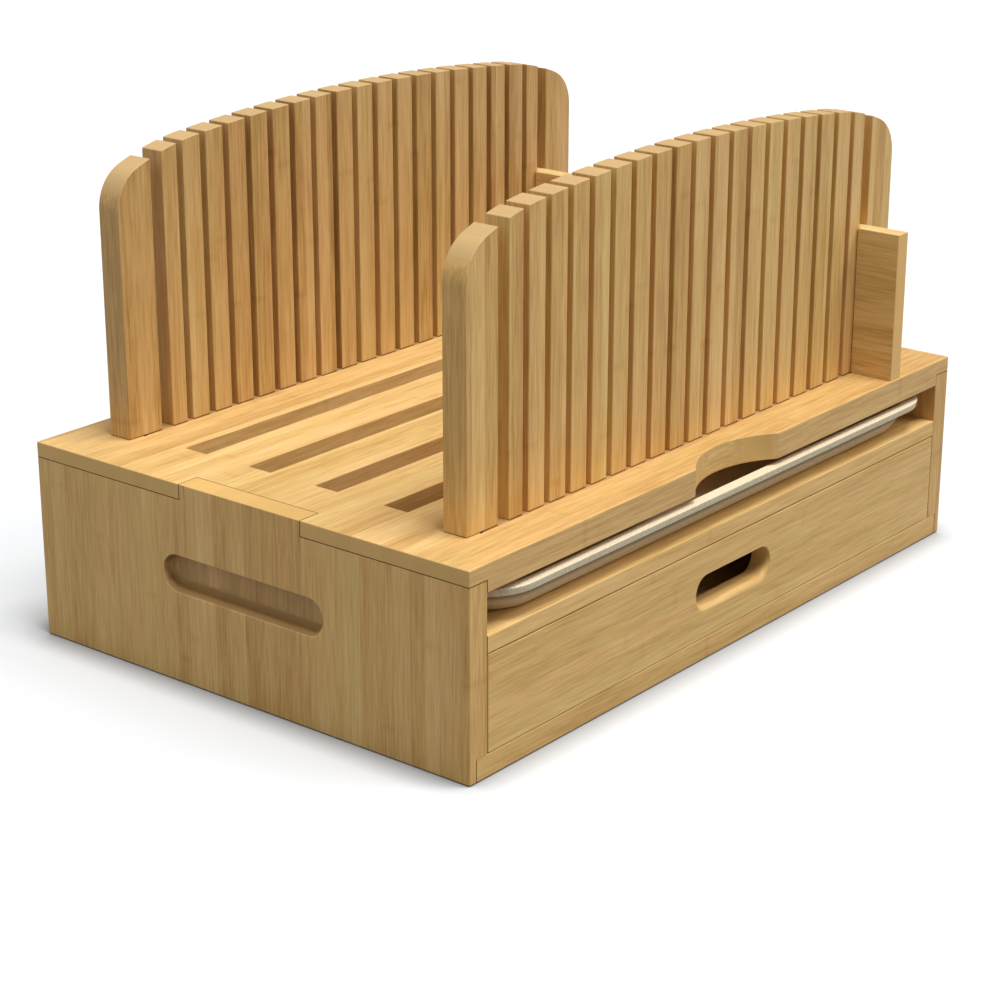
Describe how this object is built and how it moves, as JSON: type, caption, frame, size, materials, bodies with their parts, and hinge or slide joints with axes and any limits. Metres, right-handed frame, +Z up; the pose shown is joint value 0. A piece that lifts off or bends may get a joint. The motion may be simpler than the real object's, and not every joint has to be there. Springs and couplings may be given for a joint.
{
  "type": "bread slicer guide",
  "caption": "Bamboo bread slicing box with slotted top, two combed knife guides tied by a stop board, a pull-out crumb tray and a storage drawer.",
  "frame": {"origin": "on the ground, in the middle of the box's footprint", "axes": "+X to the right along the front, +Y from the front to the back, +Z up"},
  "size_m": [0.4, 0.27, 0.2448],
  "materials": {
    "side_panel_bamboo": "laminated bamboo, grain upright, thin satin oil",
    "top_board_bamboo": "laminated bamboo, grain along the front, thin satin oil",
    "board_bamboo": "laminated bamboo, grain along the front, thin satin oil",
    "drawer_bamboo": "laminated bamboo, grain along each board, thin satin oil",
    "guide_bamboo": "laminated bamboo, grain upright along the teeth, thin satin oil",
    "stop_board_bamboo": "laminated bamboo, grain along the board, thin satin oil",
    "dowel_wood": "plain turned wood, glued in",
    "tray_plastic": "moulded cream plastic with fine plant-fibre specks"
  },
  "bodies": {
    "box": {"left_side_panel": "side_panel_bamboo", "right_side_panel": "side_panel_bamboo", "top_board": "top_board_bamboo", "shelf_board": "board_bamboo", "back_board": "board_bamboo", "bottom_board": "board_bamboo", "top_board_dowels": "dowel_wood", "shelf_dowels": "dowel_wood", "back_board_dowels": "dowel_wood", "bottom_board_dowels": "dowel_wood"},
    "drawer": {"drawer_front": "drawer_bamboo", "drawer_left_side": "drawer_bamboo", "drawer_right_side": "drawer_bamboo", "drawer_back": "drawer_bamboo", "drawer_bottom": "drawer_bamboo", "drawer_front_dowels": "dowel_wood", "drawer_back_dowels": "dowel_wood"},
    "tray": {"crumb_tray": "tray_plastic"},
    "front_guide_body": {"front_guide": "guide_bamboo"},
    "rear_guide_body": {"rear_guide": "guide_bamboo"},
    "stop_body": {"stop_board": "stop_board_bamboo"}
  },
  "joints": [
    {"name": "drawer_slide", "type": "slide", "parent": "box", "child": "drawer", "axis": [0, -1, 0], "range_m": [0, 0.2]},
    {"name": "tray_slide", "type": "slide", "parent": "box", "child": "tray", "axis": [0, -1, 0], "range_m": [0, 0.2]},
    {"name": "front_guide_lift", "type": "slide", "parent": "box", "child": "front_guide_body", "axis": [0, 0, 1], "range_m": [0, 0.03]},
    {"name": "rear_guide_lift", "type": "slide", "parent": "box", "child": "rear_guide_body", "axis": [0, 0, 1], "range_m": [0, 0.03]},
    {"name": "stop_lift", "type": "slide", "parent": "front_guide_body", "child": "stop_body", "axis": [0, 0, 1], "range_m": [0, 0.15]}
  ],
  "couplings": [
    {"joint": "rear_guide_lift", "follows": "front_guide_lift", "ratio": 1}
  ]
}
